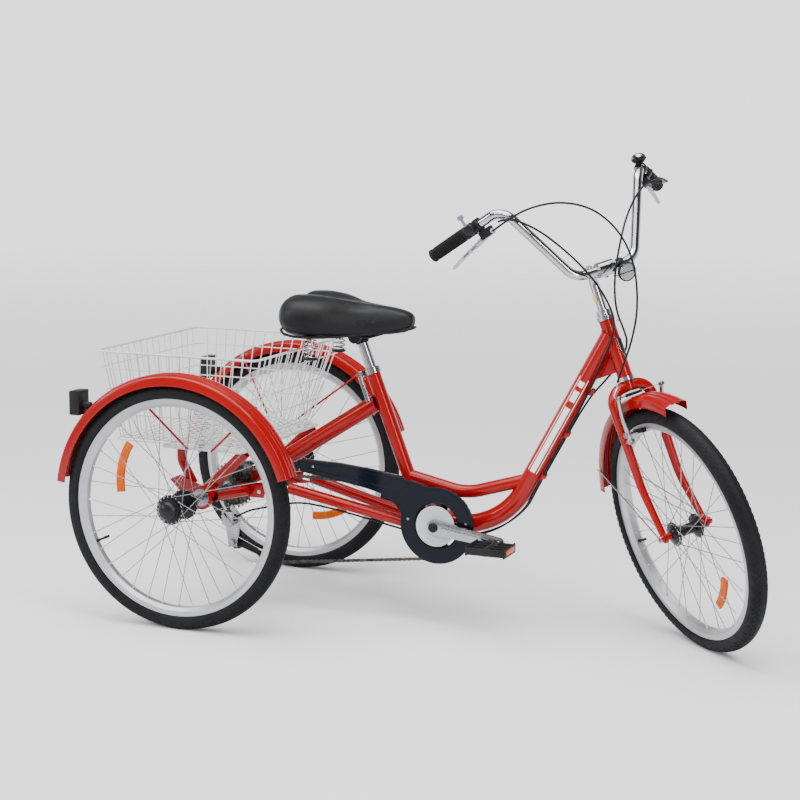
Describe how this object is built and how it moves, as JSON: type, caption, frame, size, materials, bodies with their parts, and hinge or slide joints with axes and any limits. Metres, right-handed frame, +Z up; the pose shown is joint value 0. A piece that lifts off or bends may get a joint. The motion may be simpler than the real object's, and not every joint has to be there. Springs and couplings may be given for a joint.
{
  "type": "adult tricycle",
  "caption": "Step-through adult tricycle with swept handlebar, wide sprung saddle, chain drive to the rear axle, fenders and a wire cargo basket between the rear wheels.",
  "frame": {"origin": "on the floor under the middle of the rear axle", "axes": "+X the way it rides, +Y the rider's left, +Z up"},
  "size_m": [1.7218, 0.792, 1.157],
  "materials": {
    "red_paint": "gloss",
    "chrome": "polished",
    "polished_alloy": "polished",
    "rim_alloy": "satin",
    "spoke_steel": "satin",
    "tyre_rubber": "matte",
    "black_metal": "gloss",
    "black_plastic": "satin",
    "guard_gloss": "gloss",
    "saddle_vinyl": "satin",
    "grip_rubber": "matte",
    "cable_housing": "satin",
    "chain_steel": "oiled",
    "white_wire": "gloss",
    "clear_lens": "gloss"
  },
  "bodies": {
    "frame": {"head_tube": "red_paint", "bearing_cups": "chrome", "bottom_bracket_shell": "red_paint", "seat_tube": "red_paint", "down_tube": "red_paint", "step_tube": "red_paint", "seat_stay": "red_paint", "chainstays": "red_paint", "rear_frame": "red_paint", "axle_bearings": "spoke_steel", "frame_bolts": "chrome", "seat_clamp": "chrome", "chain_guard": "guard_gloss", "rack_tray": "polished_alloy", "basket": "white_wire", "rear_fenders": "red_paint", "rear_lamps": "black_plastic", "brake_band": "spoke_steel", "derailleur_body": "polished_alloy", "frame_cables": "cable_housing", "drive_chain": "chain_steel"},
    "steering": {"fork": "red_paint", "stem": "chrome", "handlebar": "chrome", "grips": "grip_rubber", "control_clamps": "black_plastic", "bell": "chrome", "front_reflector": "clear_lens", "front_fender": "red_paint", "front_brake_cable": "cable_housing"},
    "front_wheel": {"hub_front": "black_metal", "spokes_front": "spoke_steel", "rim_front": "rim_alloy", "tyre_front": "tyre_rubber"},
    "drive_wheel": {"rear_axle": "spoke_steel", "hub_right": "black_metal", "spokes_right": "spoke_steel", "rim_right": "rim_alloy", "tyre_right": "tyre_rubber"},
    "left_wheel": {"hub_left": "black_metal", "spokes_left": "spoke_steel", "rim_left": "rim_alloy", "tyre_left": "tyre_rubber"},
    "crankset": {"cranks": "polished_alloy", "chainring": "black_plastic"},
    "freewheel": {"freewheel": "spoke_steel"},
    "pedal_right": {"pedal_right": "black_plastic"},
    "pedal_left": {"pedal_left": "black_plastic"},
    "brake_lever_right": {"brake_lever_right": "polished_alloy"},
    "brake_lever_left": {"brake_lever_left": "polished_alloy"},
    "v_brake_arm_right": {"v_brake_arm_right": "polished_alloy"},
    "v_brake_arm_left": {"v_brake_arm_left": "polished_alloy"},
    "shift_lever": {"shift_lever": "black_plastic"},
    "bell_lever": {"bell_lever": "chrome"},
    "derailleur_cage": {"derailleur_cage": "black_metal"},
    "seat": {"seat_post": "chrome", "saddle_frame": "black_metal", "saddle_springs": "chrome", "saddle": "saddle_vinyl"},
    "seat_quick_release": {"seat_quick_release": "chrome"}
  },
  "joints": [
    {"name": "steering_turn", "type": "hinge", "parent": "frame", "child": "steering", "pos_m": [0.958, 0, 0.768], "axis": [-0.3551, 0, 0.9348], "range_deg": [-20, 110], "deforming": ["frame_cables"]},
    {"name": "front_wheel_spin", "type": "hinge", "parent": "steering", "child": "front_wheel", "pos_m": [1.16941, -0.02828, 0.29111], "axis": [0.661, 0.7071, 0.2511], "continuous": true},
    {"name": "drive_wheel_spin", "type": "hinge", "parent": "frame", "child": "drive_wheel", "pos_m": [0, 0, 0.3], "axis": [0, 1, 0], "continuous": true},
    {"name": "left_wheel_spin", "type": "hinge", "parent": "frame", "child": "left_wheel", "pos_m": [0, 0.335, 0.3], "axis": [0, 1, 0], "continuous": true},
    {"name": "crank_spin", "type": "hinge", "parent": "frame", "child": "crankset", "pos_m": [0.565, 0, 0.252], "axis": [0, 1, 0], "continuous": true, "deforming": ["drive_chain"]},
    {"name": "freewheel_spin", "type": "hinge", "parent": "frame", "child": "freewheel", "pos_m": [0, -0.05, 0.3], "axis": [0, 1, 0], "continuous": true},
    {"name": "right_pedal_spin", "type": "hinge", "parent": "crankset", "child": "pedal_right", "pos_m": [0.73335, -0.15, 0.22834], "axis": [0, 1, 0], "continuous": true},
    {"name": "left_pedal_spin", "type": "hinge", "parent": "crankset", "child": "pedal_left", "pos_m": [0.39665, 0.15, 0.27566], "axis": [0, 1, 0], "continuous": true},
    {"name": "right_brake_lever_pull", "type": "hinge", "parent": "steering", "child": "brake_lever_right", "pos_m": [0.70968, -0.15255, 0.96457], "axis": [0.0768, 0.9912, 0.1082], "range_deg": [0, 14], "stiffness_Nm_per_rad": 2, "springref_deg": -5.73},
    {"name": "shift_lever_turn", "type": "hinge", "parent": "steering", "child": "shift_lever", "pos_m": [0.67855, -0.17828, 0.97838], "axis": [0.0768, 0.9912, 0.1082], "range_deg": [-30, 30]},
    {"name": "left_brake_lever_pull", "type": "hinge", "parent": "steering", "child": "brake_lever_left", "pos_m": [1.00404, 0.16233, 1.07639], "axis": [0.9528, 0.1102, 0.2829], "range_deg": [0, 14], "stiffness_Nm_per_rad": 2, "springref_deg": -5.73},
    {"name": "bell_lever_flick", "type": "hinge", "parent": "steering", "child": "bell_lever", "pos_m": [0.99199, 0.10467, 1.13941], "axis": [0.3012, -0.2257, -0.9265], "range_deg": [0, 25], "stiffness_Nm_per_rad": 0.2, "springref_deg": -2.86},
    {"name": "right_v_brake_arm_swing", "type": "hinge", "parent": "steering", "child": "v_brake_arm_right", "pos_m": [1.03761, -0.0519, 0.4935], "axis": [-0.661, 0.7071, -0.2511], "range_deg": [0, 4]},
    {"name": "left_v_brake_arm_swing", "type": "hinge", "parent": "steering", "child": "v_brake_arm_left", "pos_m": [1.10768, 0.02305, 0.52011], "axis": [0.661, -0.7071, 0.2511], "range_deg": [0, 4]},
    {"name": "derailleur_cage_swing", "type": "hinge", "parent": "frame", "child": "derailleur_cage", "pos_m": [0.012, -0.05, 0.158], "axis": [0, 1, 0], "range_deg": [-20, 15], "stiffness_Nm_per_rad": 1.5},
    {"name": "seat_post_slide", "type": "slide", "parent": "frame", "child": "seat", "axis": [-0.3616, 0, 0.9323], "range_m": [-0.045, 0.1]},
    {"name": "seat_quick_release_turn", "type": "hinge", "parent": "frame", "child": "seat_quick_release", "pos_m": [0.3399, 0, 0.60031], "axis": [0, 1, 0], "range_deg": [-10, 80]}
  ],
  "couplings": [
    {"joint": "freewheel_spin", "follows": "crank_spin", "ratio": 2.1},
    {"joint": "right_v_brake_arm_swing", "follows": "right_brake_lever_pull", "ratio": 0.28571},
    {"joint": "left_v_brake_arm_swing", "follows": "right_brake_lever_pull", "ratio": 0.28571}
  ]
}
